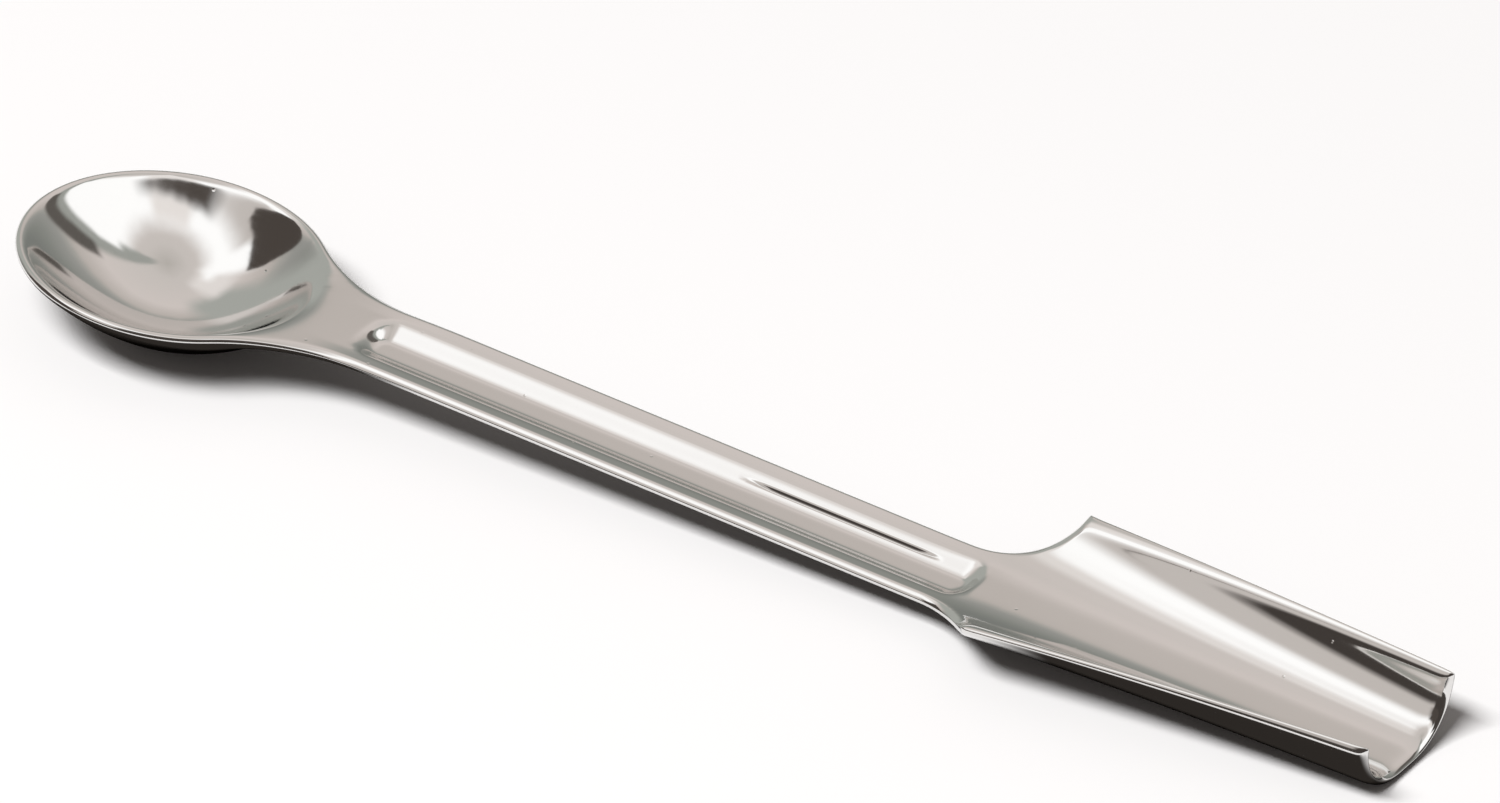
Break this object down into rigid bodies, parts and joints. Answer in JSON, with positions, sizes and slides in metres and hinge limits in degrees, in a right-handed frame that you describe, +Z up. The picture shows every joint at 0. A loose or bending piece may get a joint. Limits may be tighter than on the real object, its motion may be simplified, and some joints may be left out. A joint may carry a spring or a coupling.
{
  "type": "lab spatula",
  "caption": "Stainless lab spatula with an oval spoon bowl, a grooved flat shank and an open rolled trough at the far end, for scooping and pouring powders.",
  "frame": {"origin": "on the bench, under the middle of the part as it lies at rest", "axes": "+X along the part towards the trough, +Z up from the bench, the part mirrored about the XZ plane"},
  "size_m": [0.1502, 0.0268, 0.009],
  "materials": {
    "steel": "polished"
  },
  "bodies": {
    "root": {"spatula": "steel"}
  },
  "joints": []
}
